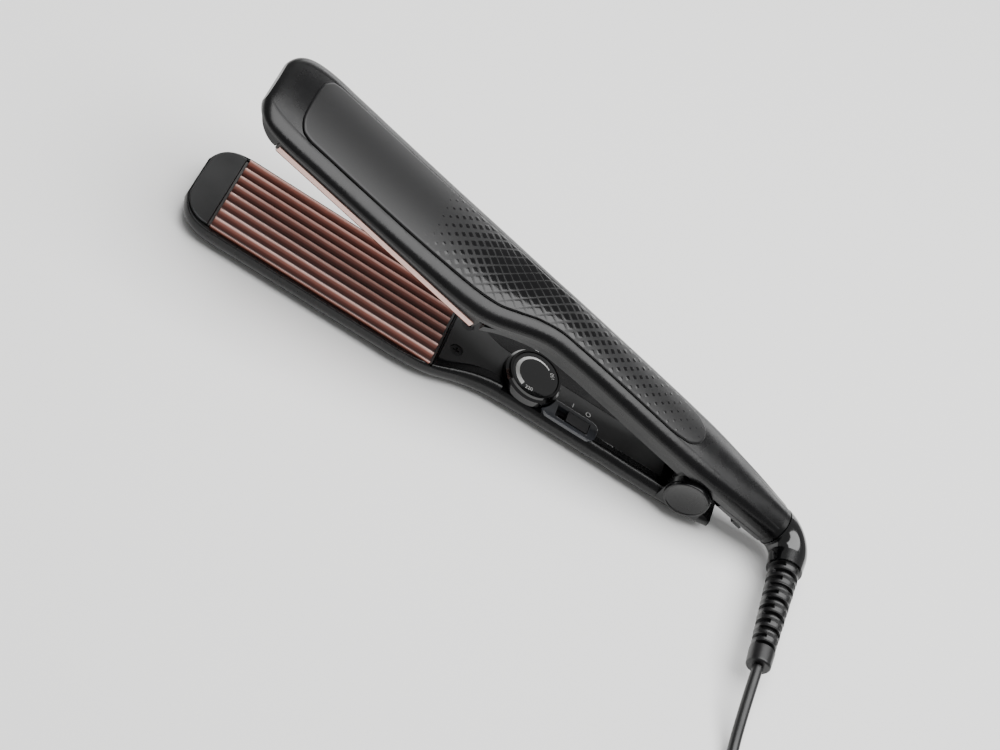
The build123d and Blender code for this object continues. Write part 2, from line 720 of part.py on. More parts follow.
CAP_RADIUS = 10.4
for side, name in ((-1, "near_hinge_cap"), (1, "far_hinge_cap")):
    with BuildPart() as hinge_cap:
        with BuildSketch(beside(side * EAR_OUTSIDE)):
            with Locations((hinge_x, hinge_z)):
                Circle(CAP_RADIUS)
        extrude(amount=-side * 0.9)
        with BuildSketch(beside(side * (EAR_OUTSIDE + 0.9))):
            with Locations((hinge_x, hinge_z)):
                Circle(CAP_RADIUS - 1.0)
        extrude(amount=-side * 1.0, taper=30)
    hinge_cap.part.label = name
    export_step(hinge_cap.part, f"parts/{name}.step")

KNUCKLE_RADIUS = 9.0
SPRING_HALF = 5.2
with BuildPart() as hinge_knuckle:
    with BuildSketch(beside(0)):
        with Locations((hinge_x, hinge_z)):
            Circle(KNUCKLE_RADIUS)
        with Locations((hinge_x, hinge_z + 7)):
            Rectangle(2 * KNUCKLE_RADIUS - 2, 14)
    extrude(amount=KNUCKLE_HALF, both=True)
    with BuildSketch(beside(0)):
        with Locations((hinge_x, hinge_z)):
            Circle(PIN_RADIUS + PIN_CLEARANCE)
    extrude(amount=30, both=True, mode=Mode.SUBTRACT)
    with BuildSketch(beside(0)):
        with Locations((hinge_x, hinge_z - 5)):
            Rectangle(40, 26)
    extrude(amount=SPRING_HALF, both=True, mode=Mode.SUBTRACT)
    add(upper_shell.part.moved(OPENED.inverse()), mode=Mode.SUBTRACT)
hinge_knuckle.part.move(OPENED)
hinge_knuckle.part.label = "hinge_knuckle"
export_step(hinge_knuckle.part, "parts/hinge_knuckle.step")

# Torsion spring round the pin, between the two halves of the knuckle
SPRING_WIRE = 0.7
SPRING_MEAN = 4.4
with BuildPart() as opening_spring:
    with BuildLine() as coil_line:
        Helix(pitch=1.9, height=7.6, radius=SPRING_MEAN, center=(0, 0, -3.8))
    with BuildSketch(Plane(origin=coil_line.line @ 0, z_dir=coil_line.line % 0)):
        Circle(SPRING_WIRE)
    sweep(path=coil_line.line)
    for end, way in ((0, -1), (1, 1)):
        with BuildSketch(Plane(origin=coil_line.line @ end, z_dir=way * (coil_line.line % end))):
            Circle(SPRING_WIRE)
        extrude(amount=3.6)
opening_spring.part.move(to_hinge * Location(Plane.XZ) * Location((0, 0, 0), (0, 0, -40)))
opening_spring.part.label = "opening_spring"
export_step(opening_spring.part, "parts/opening_spring.step")


# Rear underside cover of the upper arm, from behind the hinge to the swivel
REAR_STATIONS = [(251.8, 12.7, 13.6, 6.2), (265.0, 11.5, 13.3, 5.5), (REAR_AT, 9.7, 12.9, 5.3)]


def rear_section(station, inset):
    """Lower half of the rear end's section, open above."""
    at, half, top, bottom = station
    half, top, bottom = half - inset, CLOSING_Z + top + 2 * inset, CLOSING_Z + bottom + inset
    with BuildSketch(across(at)) as section:
        with BuildLine():
            Line((-half, top), (half, top))
            quarter((0, bottom), (half, top))
            quarter((0, bottom), (-half, top))
        make_face()
    return section.sketch


with BuildPart() as rear_hollow:
    loft([rear_section(station, WALL) for station in REAR_STATIONS])

with BuildPart() as rear_cover:
    loft([rear_section(station, 0.0) for station in REAR_STATIONS])
    add(rear_hollow.part, mode=Mode.SUBTRACT)
    with BuildSketch(level(0)):
        with Locations(place(266.0)):
            Rectangle(14, 5)
    extrude(amount=9, mode=Mode.SUBTRACT)
    add(upper_form.part.moved(Location((0, 0, -0.2))), mode=Mode.SUBTRACT)
rear_cover.part.move(OPENED)
rear_cover.part.label = "rear_cover"
export_step(rear_cover.part, "parts/rear_cover.step")

# Lock slider: a saddle under the rear cover with a stem through its slot
LOCK_TRAVEL = 5.0
LOCK_AT = 268.0
with BuildPart() as saddle_room:
    loft([rear_section((at, half + 0.35, top, up - 0.35), 0.0) for at, half, top, up in REAR_STATIONS])

with BuildPart() as lock_slider:
    loft(
        [
            rear_section((LOCK_AT - 2.5, 12.3, 12.0, 4.0), 0.0),
            rear_section((LOCK_AT + 2.5, 11.9, 11.8, 3.9), 0.0),
        ]
    )
    add(saddle_room.part, mode=Mode.SUBTRACT)
    with BuildSketch(level(3.0)):
        with Locations(place(LOCK_AT)):
            Rectangle(30, 16)
    extrude(amount=20, mode=Mode.INTERSECT)
    with BuildSketch(level(4.4)):
        with Locations(place(LOCK_AT)):
            Rectangle(4, 4)
    extrude(amount=4.2)
lock_slider.part.move(OPENED)
lock_slider.part.label = "lock_slider"
export_step(lock_slider.part, "parts/lock_slider.step")


# Swivel at the cord end: collar and contact sleeve in the arm, elbow turning in them
def swivel_plane(at):
    """Plane square to the swivel axis."""
    return Plane(origin=(PLATE_FRONT + at, 0, swivel_z), x_dir=(0, 1, 0), z_dir=(1, 0, 0))


STUB_RADIUS = 6.0
ELBOW_START = REAR_AT + 3.0
with BuildPart() as swivel_collar:
    with BuildSketch(swivel_plane(REAR_AT + 0.1)):
        Circle(REAR_RADIUS - 0.3)
        Circle(STUB_RADIUS + PIN_CLEARANCE, mode=Mode.SUBTRACT)
    extrude(amount=2.4)
    with BuildSketch(swivel_plane(REAR_AT + 0.1)):
        Circle(STUB_RADIUS + 1.6)
        Circle(STUB_RADIUS + PIN_CLEARANCE, mode=Mode.SUBTRACT)
    extrude(amount=-5)
swivel_collar.part.move(OPENED)
swivel_collar.part.label = "swivel_collar"
export_step(swivel_collar.part, "parts/swivel_collar.step")

with BuildPart() as swivel_contacts:
    with BuildSketch(swivel_plane(REAR_AT - 14)):
        Circle(STUB_RADIUS)
        Circle(3.4, mode=Mode.SUBTRACT)
    extrude(amount=3)
swivel_contacts.part.move(OPENED)
swivel_contacts.part.label = "swivel_contacts"
export_step(swivel_contacts.part, "parts/swivel_contacts.step")

RELIEF_Y = -17.5
RELIEF_LENGTH = 55.0
elbow_x = PLATE_FRONT + ELBOW_START + 0.5
elbow_route = [
    (PLATE_FRONT + ELBOW_START, 0, swivel_z),
    (elbow_x + ELBOW_BEND, 0, swivel_z),
    (elbow_x + ELBOW_BEND, RELIEF_Y, swivel_z),
]
with BuildPart() as swivel_elbow:
    with BuildLine() as elbow_line:
        FilletPolyline(*elbow_route, radius=ELBOW_BEND)
    for along, radius in ((0.0, 9.8), (0.4, 9.1), (1.0, 8.2)):
        with BuildSketch(Plane(origin=elbow_line.line @ along, z_dir=elbow_line.line % along)):
            Circle(radius)
    sweep(path=elbow_line.line, multisection=True)
    with BuildSketch(swivel_plane(ELBOW_START + 0.5)):
        Circle(STUB_RADIUS)
    extrude(amount=-9.5)
swivel_elbow.part.move(OPENED)
swivel_elbow.part.label = "swivel_elbow"
export_step(swivel_elbow.part, "parts/swivel_elbow.step")

# Strain relief: tapered sleeve of ribs and grooves that ends in a plain collar
RELIEF_RIBS = 8
RELIEF_BASE = 7.3
RELIEF_TIP = 5.4
with BuildPart() as strain_relief:
    with BuildSketch(Plane(origin=(elbow_x + ELBOW_BEND, RELIEF_Y, swivel_z), x_dir=(1, 0, 0), z_dir=(0, 0, 1))):
        with BuildLine():
            rib_step = (RELIEF_LENGTH - 7.0) / RELIEF_RIBS
            profile = [(0, 0)]
            for rib in range(RELIEF_RIBS):
                start = -rib * rib_step
                radius = RELIEF_BASE + (RELIEF_TIP - RELIEF_BASE) * rib / RELIEF_RIBS
                groove = radius - 1.5
                profile += [(radius, start), (radius, start - 0.62 * rib_step)]
                profile += [(groove, start - 0.62 * rib_step), (groove, start - rib_step)]
            profile += [(RELIEF_TIP, profile[-1][1]), (RELIEF_TIP - 0.6, -RELIEF_LENGTH), (0, -RELIEF_LENGTH)]
            Polyline(*profile, close=True)
        make_face()
    revolve(axis=Axis((elbow_x + ELBOW_BEND, RELIEF_Y, swivel_z), (0, 1, 0)))
strain_relief.part.move(OPENED)
strain_relief.part.label = "strain_relief"
export_step(strain_relief.part, "parts/strain_relief.step")


# Internal wires, from the swivel contacts over the hinge to the heater, and from the board forward
def upper_wire(side):
    """Points of one wire inside the upper arm."""
    heights = [
        (265.5, 4.3, REAR_UP + 0.8),
        (252.0, 4.4, 20.4),
        (215.0, 5.0, 20.8),
        (150.0, 6.0, 19.4),
        (132.0, 6.6, 17.0),
        (113.0, 7.0, 12.0),
        (101.0, 7.0, 8.2),
        (92.0, 7.0, UPPER_BACK + HEATER_THICK + 1.0),
    ]
    return [(PLATE_FRONT + at, side * y, CLOSING_Z + up) for at, y, up in heights]


def lower_wire(side):
    """Points of one wire inside the lower arm."""
    heights = [
        (143.4, 3.0, -9.5),
        (118.0, 3.4, -9.8),
        (102.0, 7.0, -9.4),
        (92.0, 7.4, -PLATE_BACK - HEATER_THICK - 1.2),
    ]
    return [(PLATE_FRONT + at, side * y, CLOSING_Z + up) for at, y, up in heights]


def wire_tube(route):
    """Thin insulated wire along a route."""
    with BuildPart() as wire:
        with BuildLine() as wire_line:
            FilletPolyline(*route, radius=4)
        with BuildSketch(Plane(origin=wire_line.line @ 0, z_dir=wire_line.line % 0)):
            Circle(0.9)
        sweep(path=wire_line.line)
    return wire.part


with BuildPart() as upper_wires:
    add(wire_tube(upper_wire(1)))
    add(wire_tube(upper_wire(-1)))
upper_wires.part.move(OPENED)
upper_wires.part.label = "upper_wires"
export_step(upper_wires.part, "parts/upper_wires.step")

with BuildPart() as lower_wires:
    add(wire_tube(lower_wire(1)))
    add(wire_tube(lower_wire(-1)))
lower_wires.part.label = "lower_wires"
export_step(lower_wires.part, "parts/lower_wires.step")


def cord_radii(route):
    """Radius of the arc at each inner point: 0.45 of its shorter run over the tangent of half the turn."""
    points = [Vector(*point) for point in route]
    radii = []
    for before, here, after in zip(points, points[1:], points[2:]):
        turn = radians((here - before).get_angle(after - here))
        shorter = min((here - before).length, (after - here).length)
        radii.append(0.45 * shorter / tan(turn / 2))
    return radii


def cord_tube(route, name):
    """Tube along straight runs joined by tangent arcs; prints its radii and checks its volume."""
    radii = cord_radii(route)
    with BuildPart() as tube:
        with BuildLine() as line:
            FilletPolyline(*route, radius=radii)
        with BuildSketch(Plane(origin=line.line @ 0, z_dir=line.line % 0)):
            Circle(CORD_RADIUS)
        sweep(path=line.line)
    length = sum(edge.length for edge in line.edges())
    ratio = tube.part.volume / (pi * CORD_RADIUS**2 * length)
    print(name, "radii", [round(r) for r in radii], "length", round(length, 1), "volume ratio", round(ratio, 4))
    return tube.part


COIL_CENTRE = (124.0, -188.0)
CORD_ROUTE = [
    (149.84, -72.5, 14.48),
    (150.0, -84.0, 13.0),
    (151.2, -96.5, 9.4),
    (153.3, -110.0, 4.6),
    (155.6, -126.0, 2.5),
    (158.6, -146.0, 2.5),
    (157.4, -166.0, 2.5),
    (157.2, -186.0, 2.5),
]
TAIL_ROUTE = [(126.0, -221.0, 12.5), (111.0, -221.6, 11.6), (97.0, -222.8, 8.8), (84.0, -222.0, 6.6)]

with BuildPart() as power_cord:
    add(cord_tube(CORD_ROUTE, "power_cord"))
power_cord.part.label = "power_cord"
export_step(power_cord.part, "parts/power_cord.step")

with BuildPart() as cord_coil:
    with BuildSketch(Plane.XY):
        with Locations(COIL_CENTRE):
            Circle(COIL_RADIUS + COIL_THICK / 2)
            Circle(COIL_RADIUS - COIL_THICK / 2, mode=Mode.SUBTRACT)
    extrude(amount=COIL_THICK)
    fillet(cord_coil.edges(), 2.4)
cord_coil.part.label = "cord_coil"
export_step(cord_coil.part, "parts/cord_coil.step")

with BuildPart() as cord_tail:
    add(cord_tube(TAIL_ROUTE, "cord_tail"))
cord_tail.part.label = "cord_tail"
export_step(cord_tail.part, "parts/cord_tail.step")

# Flat two-pin mains plug at the cord's end
PLUG_END = TAIL_ROUTE[-1]
PLUG_LENGTH = 36.0
PLUG_WIDTH = 34.0
PLUG_THICK = 13.2
PIN_LENGTH = 19.0
PLUG_PIN_RADIUS = 2.0
PLUG_PIN_SPACING = 18.6


def plug_plane(x):
    """Plane across the plug: local x is Y, local y is Z."""
    return Plane(origin=(x, PLUG_END[1], PLUG_THICK / 2), x_dir=(0, 1, 0), z_dir=(1, 0, 0))


with BuildPart() as plug_body:
    for x, width, thick in (
        (PLUG_END[0], 12.0, 11.0),
        (PLUG_END[0] - 14, 20.0, PLUG_THICK),
        (PLUG_END[0] - PLUG_LENGTH, PLUG_WIDTH, PLUG_THICK),
    ):
        with BuildSketch(plug_plane(x)):
            RectangleRounded(width, thick, 4.5)
    loft()
plug_body.part.label = "plug_body"
export_step(plug_body.part, "parts/plug_body.step")

with BuildPart() as plug_pins:
    with BuildSketch(plug_plane(PLUG_END[0] - PLUG_LENGTH)):
        with GridLocations(PLUG_PIN_SPACING, 0, 2, 1):
            Circle(PLUG_PIN_RADIUS)
    extrude(amount=-PIN_LENGTH)
    fillet(plug_pins.edges().group_by(Axis.X)[0], 1.2)
plug_pins.part.label = "plug_pins"
export_step(plug_pins.part, "parts/plug_pins.step")
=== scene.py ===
import math

import bpy
import numpy as np
from mathutils import Matrix, Vector


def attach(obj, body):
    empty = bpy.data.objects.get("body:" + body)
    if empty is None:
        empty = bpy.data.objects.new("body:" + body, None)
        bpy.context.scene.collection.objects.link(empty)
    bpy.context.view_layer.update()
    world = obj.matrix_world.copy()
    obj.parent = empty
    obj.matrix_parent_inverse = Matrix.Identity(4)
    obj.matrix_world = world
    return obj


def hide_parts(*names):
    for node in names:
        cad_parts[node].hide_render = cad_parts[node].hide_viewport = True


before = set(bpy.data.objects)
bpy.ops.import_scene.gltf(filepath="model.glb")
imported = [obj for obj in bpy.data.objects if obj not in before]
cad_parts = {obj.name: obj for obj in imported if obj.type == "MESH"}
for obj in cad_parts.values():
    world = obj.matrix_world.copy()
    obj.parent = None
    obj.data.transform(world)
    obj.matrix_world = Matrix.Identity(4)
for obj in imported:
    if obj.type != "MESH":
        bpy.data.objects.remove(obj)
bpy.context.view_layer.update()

# Camera
# A long lens high over the near side of the plate tips, looking along the arms to the hinge.
view_camera = bpy.data.objects.new("view_camera", bpy.data.cameras.new("view_camera"))
bpy.context.collection.objects.link(view_camera)
view_camera.data.lens = 72.0
view_camera.data.sensor_width = 36.0
view_camera.matrix_world = Matrix(
    (
        (0.8355, -0.5237, -0.1664, -0.1506),
        (0.2981, 0.6863, -0.6635, -0.5882),
        (0.4616, 0.5047, 0.7295, 0.6519),
        (0.0, 0.0, 0.0, 1.0),
    )
)
bpy.context.scene.camera = view_camera


# Power cord
# Black PVC flex, 5 mm round, that leaves the swivel's sleeve, drops to the table and is
# wound into a tied coil, with the mains plug lying beside it.
def linear(code):
    """sRGB hex colour as linear red, green, blue and alpha: each channel raised by the sRGB curve."""
    channels = np.array([int(code[k : k + 2], 16) for k in (0, 2, 4)]) / 255
    curved = np.where(channels <= 0.04045, channels / 12.92, ((channels + 0.055) / 1.055) ** 2.4)
    return (*curved, 1.0)


def new_material(name, colour, roughness, **inputs):
    """Material with a Principled shader, its colour given as sRGB hex."""
    material = bpy.data.materials.new(name)
    material.use_nodes = True
    shader = material.node_tree.nodes["Principled BSDF"]
    shader.inputs["Base Color"].default_value = linear(colour)
    shader.inputs["Roughness"].default_value = roughness
    for socket, value in inputs.items():
        shader.inputs[socket.replace("_", " ")].default_value = value
    return material


def add(material, kind, links=None, **settings):
    """Adds one node: links maps its input sockets to output sockets or values, settings its properties."""
    made = material.node_tree.nodes.new(kind)
    for key, value in settings.items():
        setattr(made, key, value)
    for socket, source in (links or {}).items():
        if isinstance(source, bpy.types.NodeSocket):
            material.node_tree.links.new(source, made.inputs[socket])
        else:
            made.inputs[socket].default_value = source
    return made


def grain(material, size, depth, rough, spread, detail=2.0):
    """Moulded grain: noise about size millimetres across lifts the surface by depth millimetres
    and varies the roughness by spread either side of rough."""
    shader = material.node_tree.nodes["Principled BSDF"]
    place = add(material, "ShaderNodeTexCoord")
    noise = add(
        material,
        "ShaderNodeTexNoise",
        {"Vector": place.outputs["Object"], "Scale": 1000.0 / size, "Detail": detail, "Roughness": 0.6},
    )
    bump = add(
        material,
        "ShaderNodeBump",
        {"Height": noise.outputs["Fac"], "Strength": 1.0, "Distance": depth / 1000.0},
    )
    wear = add(
        material,
        "ShaderNodeTexNoise",
        {"Vector": place.outputs["Object"], "Scale": 90.0, "Detail": 4.0},
    )
    band = add(
        material,
        "ShaderNodeMapRange",
        {
            "Value": wear.outputs["Fac"],
            "From Min": 0.3,
            "From Max": 0.7,
            "To Min": rough - spread,
            "To Max": rough + spread,
        },
    )
    links = material.node_tree.links
    links.new(bump.outputs["Normal"], shader.inputs["Normal"])
    links.new(band.outputs["Result"], shader.inputs["Roughness"])
    return material


# Plasticised PVC, extruded: a dull black with a soft highlight along the length
flex_pvc = grain(new_material("extruded_pvc", "0A0A0B", 0.42, IOR=1.53), 0.5, 0.02, 0.42, 0.06)

CORD_RADIUS = 0.0025
COIL_CENTRE = np.array([0.124, -0.188])
# Radius and height of the coil's nine turns, in millimetres
COIL_STEPS = [
    (33, 2.5),
    (28, 2.5),
    (23, 2.5),
    (23, 7.5),
    (23, 12.5),
    (28, 12.5),
    (28, 7.5),
    (33, 7.5),
    (33, 12.5),
]
LAST_STEP = len(COIL_STEPS) - 1
COIL_POINTS = 14
cord_route = [
    (0.14984, -0.0725, 0.01448),
    (0.1500, -0.0840, 0.0130),
    (0.1512, -0.0965, 0.0094),
    (0.1533, -0.1100, 0.0046),
    (0.1556, -0.1260, 0.0025),
    (0.1586, -0.1460, 0.0025),
    (0.1574, -0.1660, 0.0025),
    (0.1572, -0.1860, 0.0025),
]
for step in range(1, len(COIL_STEPS) * COIL_POINTS + 4):
    turn, part = divmod(step / COIL_POINTS, 1.0)
    here, there = COIL_STEPS[min(int(turn), LAST_STEP)], COIL_STEPS[min(int(turn) + 1, LAST_STEP)]
    # The last 0.3 of a turn leads over to the next one's radius and height
    swing = max(0.0, (part - 0.7) / 0.3)
    radius = (here[0] + (there[0] - here[0]) * swing) / 1000
    angle = -2 * math.pi * step / COIL_POINTS
    height = (here[1] + (there[1] - here[1]) * swing) / 1000
    coil_x, coil_y = COIL_CENTRE + radius * np.array([math.cos(angle), math.sin(angle)])
    cord_route.append((coil_x, coil_y, height))
cord_route += [
    (0.1200, -0.2214, 0.0124),
    (0.1110, -0.2216, 0.0116),
    (0.0970, -0.2228, 0.0088),
    (0.0840, -0.2220, 0.0066),
]


def curve_tube(name, points, radius):
    """NURBS curve of order 3 through its end points, with a round section."""
    curve = bpy.data.curves.new(name, "CURVE")
    curve.dimensions = "3D"
    curve.bevel_depth = radius
    curve.bevel_resolution = 4
    curve.resolution_u = 6
    curve.use_fill_caps = True
    spline = curve.splines.new("NURBS")
    spline.points.add(len(points) - 1)
    spline.points.foreach_set("co", np.column_stack([np.array(points), np.ones(len(points))]).ravel())
    spline.order_u = 3
    spline.use_endpoint_u = True
    made = bpy.data.objects.new(name, curve)
    bpy.context.collection.objects.link(made)
    return made


flex = curve_tube("flex", cord_route, CORD_RADIUS)
flex.data.materials.append(flex_pvc)
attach(flex, "cord_swivel")
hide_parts("power_cord", "cord_coil", "cord_tail")

# Mains plug
# One-piece moulded plug on the cord's end: a flat body that narrows to a grooved neck,
# with two chromed pins that carry black insulating sleeves.
def mesh_piece(name, points, body, material, wrap=False, thick=None, values=None):
    """Mesh from an (m, n, 3) grid of points in millimetres: each cell between neighbouring rows and
    columns is one face. With wrap the last column joins the first and both end rows are filled."""
    rows, columns = points.shape[:2]
    index = np.arange(rows * columns).reshape(rows, columns)
    across = np.column_stack([index, index[:, :1]]) if wrap else index
    cells = np.stack([across[:-1, :-1], across[:-1, 1:], across[1:, 1:], across[1:, :-1]], -1)
    faces = cells.reshape(-1, 4).tolist()
    if wrap:
        faces += [index[0][::-1].tolist(), index[-1].tolist()]
    made_mesh = bpy.data.meshes.new(name)
    made_mesh.from_pydata(points.reshape(-1, 3) / 1000, [], faces)
    made_mesh.shade_smooth()
    if values is not None:
        made_mesh.attributes.new("relief", "FLOAT", "POINT").data.foreach_set("value", values.ravel())
    made_mesh.materials.append(material)
    made = bpy.data.objects.new(name, made_mesh)
    bpy.context.collection.objects.link(made)
    if thick:
        wall = made.modifiers.new("wall", "SOLIDIFY")
        wall.thickness = thick / 1000
        wall.offset = -1
    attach(made, body)
    return made


def crease(piece, degrees=40):
    """Keeps edges sharper than an angle crisp, and the rest smooth."""
    piece.data.set_sharp_from_angle(angle=math.radians(degrees))


PLUG_AT = np.array([84.0, -222.0, 6.6])


def plug_section(along, turn):
    """Plug body: a rounded rectangle, by the superellipse of power 4, whose half width grows from the neck
    to the face, with four grip grooves round the neck."""
    half = np.interp(along, [0, 4, 13, 22, 36], [5.4, 6.6, 10.5, 14.6, 17.0])
    deep = np.interp(along, [0, 4, 13, 36], [5.2, 5.6, 6.4, 6.5])
    groove = 0.6 * np.clip(np.cos((along - 3.2) * 2 * np.pi / 3.2), 0, 1) * (along > 2.2) * (along < 13.5)
    end = np.clip((36.0 - along) / 1.2, 0, 1)
    inset = groove + 0.9 * (1 - np.sqrt(1 - (1 - end) ** 2))
    power = 2 / 4.0
    y = np.sign(np.cos(turn)) * np.abs(np.cos(turn)) ** power * (half - inset)
    z = np.sign(np.sin(turn)) * np.abs(np.sin(turn)) ** power * (deep - inset)
    return np.stack([-along + 0 * turn, y, z], -1)


plug_edge = 36 - 1.2 * (1 - np.sin(np.linspace(0, np.pi / 2, 8)))[1:]
plug_along = np.concatenate([np.linspace(0, 34.8, 110), plug_edge])
plug_turn = np.linspace(0, 2 * np.pi, 97)[:-1]
moulded_plug = mesh_piece(
    "moulded_plug",
    PLUG_AT + plug_section(plug_along[:, None], -plug_turn[None, :]),
    "cord_swivel",
    flex_pvc,
    wrap=True,
)
crease(moulded_plug)
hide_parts("plug_body")


def finish_node(node, material):
    """Gives a CAD node its finished material."""
    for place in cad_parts[node].material_slots:
        place.material = material


# Nickel-plated brass: bright metal with a slight yellow cast and fine turning marks
plated_pin = grain(new_material("plated_brass", "C9C6BE", 0.18, Metallic=1.0), 0.4, 0.004, 0.18, 0.05)
finish_node("plug_pins", plated_pin)

# Coil tie
# Woven nylon strap wrapped round the coil. Its path is a superellipse of the sixth power across the coil,
# opened into a spiral, so that its end lies on its start.
woven_nylon = grain(new_material("woven_nylon", "0C0C0E", 0.8, IOR=1.53), 0.45, 0.12, 0.8, 0.06)
TIE_ANGLE = math.radians(165)
tie_turn = np.linspace(0, 2 * np.pi + 0.7, 90)[None, :]
tie_lift = 0.11 * tie_turn
tie_across = np.linspace(-3.5, 3.5, 8)[:, None]
tie_radius = 28 + (8.1 + tie_lift) * np.sign(np.cos(tie_turn)) * np.abs(np.cos(tie_turn)) ** (1 / 3)
tie_up = 8.42 + (7.35 + tie_lift) * np.sign(np.sin(tie_turn)) * np.abs(np.sin(tie_turn)) ** (1 / 3)
tie_x = 1000 * COIL_CENTRE[0] + tie_radius * math.cos(TIE_ANGLE) - tie_across * math.sin(TIE_ANGLE)
tie_y = 1000 * COIL_CENTRE[1] + tie_radius * math.sin(TIE_ANGLE) + tie_across * math.cos(TIE_ANGLE)
tie_points = np.stack(np.broadcast_arrays(tie_x, tie_y, tie_up), -1)
coil_tie = mesh_piece("coil_tie", tie_points, "cord_swivel", woven_nylon, thick=0.5)


# Swivel elbow and strain relief
# Moulded elbow that turns in the rear end, and a flexible sleeve pressed over its outlet. The sleeve is
# slotted on its sides and on its top and bottom by turns, so it bends both ways, and ends in a plain collar.
# Polished ABS: near black with clear, sharp reflections
polished_abs = grain(
    new_material("polished_abs", "040405", 0.12, IOR=1.54, Coat_Weight=0.3), 1.2, 0.004, 0.15, 0.03
)
finish_node("swivel_elbow", polished_abs)
# Soft PVC: dull black that shows its edges softly
soft_pvc = grain(new_material("soft_pvc", "070708", 0.38, IOR=1.52), 0.6, 0.02, 0.36, 0.06)

SLEEVE_AT = np.array([149.84, -17.5, 14.48])
SLEEVE_LENGTH = 55.0
SLOT_PITCH = 8.0


def sleeve_radius(along, turn):
    """Sleeve radius: a cone from 7.3 to 5.4 mm, less a slot 1.7 mm deep every half pitch, which is cut
    by turns into the sides and into the top and bottom, and a plain collar at the end."""
    cone = 7.3 - 1.9 * along / SLEEVE_LENGTH
    phase = (along - 1.6) / SLOT_PITCH
    near_side = np.abs(phase - np.round(phase)) * SLOT_PITCH
    near_top = np.abs(phase - 0.5 - np.round(phase - 0.5)) * SLOT_PITCH
    on_sides = np.clip((np.abs(np.cos(turn)) - 0.42) / 0.05 + 0.5, 0, 1)
    on_top = np.clip((np.abs(np.sin(turn)) - 0.42) / 0.05 + 0.5, 0, 1)
    side = np.clip((0.95 - near_side) / 0.25 + 0.5, 0, 1) * on_sides
    top = np.clip((0.95 - near_top) / 0.25 + 0.5, 0, 1) * on_top
    web = np.clip((2.0 - np.abs(near_top - 2.0)) / 2.0, 0, 1) * 0.25
    plain = along > SLEEVE_LENGTH - 8.5
    cut = np.where(plain, 0, 1.7 * np.maximum(side, top) + web)
    lip = 0.7 * np.clip((along - SLEEVE_LENGTH + 1.0) / 1.0, 0, 1) ** 2
    return cone - cut + np.where(plain, 0.15, 0) - lip


sleeve_along = np.concatenate([[0.0], np.linspace(0.01, SLEEVE_LENGTH, 260)])[:, None]
sleeve_turn = np.linspace(0, 2 * np.pi, 97)[None, :-1]
sleeve_out = sleeve_radius(sleeve_along, sleeve_turn)
sleeve_points = SLEEVE_AT + np.stack(
    [sleeve_out * np.cos(sleeve_turn), -sleeve_along + 0 * sleeve_turn, sleeve_out * np.sin(sleeve_turn)], -1
)
cord_sleeve = mesh_piece("cord_sleeve", sleeve_points, "cord_swivel", soft_pvc, wrap=True)
crease(cord_sleeve, 35)
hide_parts("strain_relief")


# Upper trim panel
# Inlay pressed into a pocket in the upper casing: satin ABS that carries rows of small polished pads,
# set corner to corner, largest at the waist and dying away towards both ends.
PLATE_FRONT = -145.4
CLOSING_Z = 13.0
HINGE = np.array([93.6, 0.0, 18.4])
OPENING = math.radians(14.1)
PANEL_STATIONS = [
    # along, half width of the arc, height of its edge, height of its crown
    (-17.0, 8.5, 9.4, 9.9),
    (-14.6, 12.4, 10.8, 11.6),
    (-8.5, 16.0, 12.0, 13.2),
    (3.0, 17.9, 12.7, 14.3),
    (50.0, 17.9, 12.9, 14.7),
    (92.0, 17.8, 14.0, 15.8),
    (109.0, 16.9, 15.4, 17.1),
    (120.0, 14.6, 17.9, 19.3),
    (130.0, 11.8, 20.6, 21.8),
    (142.0, 9.9, 22.8, 23.9),
    (165.0, 9.7, 23.5, 24.6),
    (200.0, 9.7, 23.9, 25.0),
    (228.0, 9.6, 24.1, 25.3),
    (255.0, 8.4, 23.9, 25.4),
    (280.0, 6.9, 22.5, 25.3),
]


def eased(stations, along):
    """Columns of a station table at places along the arm: a cubic between stations whose slopes are the
    harmonic mean of the two sides' slopes, or zero at a turning point, so nothing bulges."""
    table = np.array(stations)
    ats, values = table[:, 0], table[:, 1:]
    steps = np.diff(ats)[:, None]
    rises = np.diff(values, axis=0) / steps
    product, total = rises[:-1] * rises[1:], rises[:-1] + rises[1:]
    inner = np.where(product > 0, 2 * product / np.where(product > 0, total, 1), 0)
    slopes = np.vstack([rises[:1], inner, rises[-1:]])
    k = np.clip(np.searchsorted(ats, along, side="right") - 1, 0, len(ats) - 2)
    t = ((along - ats[k]) / steps[k, 0])[:, None]
    start = values[k] * (1 + 2 * t) * (1 - t) ** 2 + slopes[k] * steps[k] * t * (1 - t) ** 2
    end = values[k + 1] * t * t * (3 - 2 * t) - slopes[k + 1] * steps[k] * t * t * (1 - t)
    return (start + end).T


def opened(along, y, up):
    """Points on the upper arm in millimetres: drawn closed, then turned about the hinge by the opening."""
    x, z = PLATE_FRONT + along - HINGE[0], CLOSING_Z + up - HINGE[2]
    x, z = x * math.cos(OPENING) + z * math.sin(OPENING), z * math.cos(OPENING) - x * math.sin(OPENING)
    return np.stack(np.broadcast_arrays(x + HINGE[0], y, z + HINGE[2]), -1)


def arc_height(y, half, edge, crown):
    """Height of the arc through the crown and both edges, at y: crown - R + sqrt(R^2 - y^2)."""
    rise = crown - edge
    bend = (half**2 + rise**2) / (2 * rise)
    return crown - bend + np.sqrt(bend**2 - np.clip(y, -0.98 * bend, 0.98 * bend) ** 2)


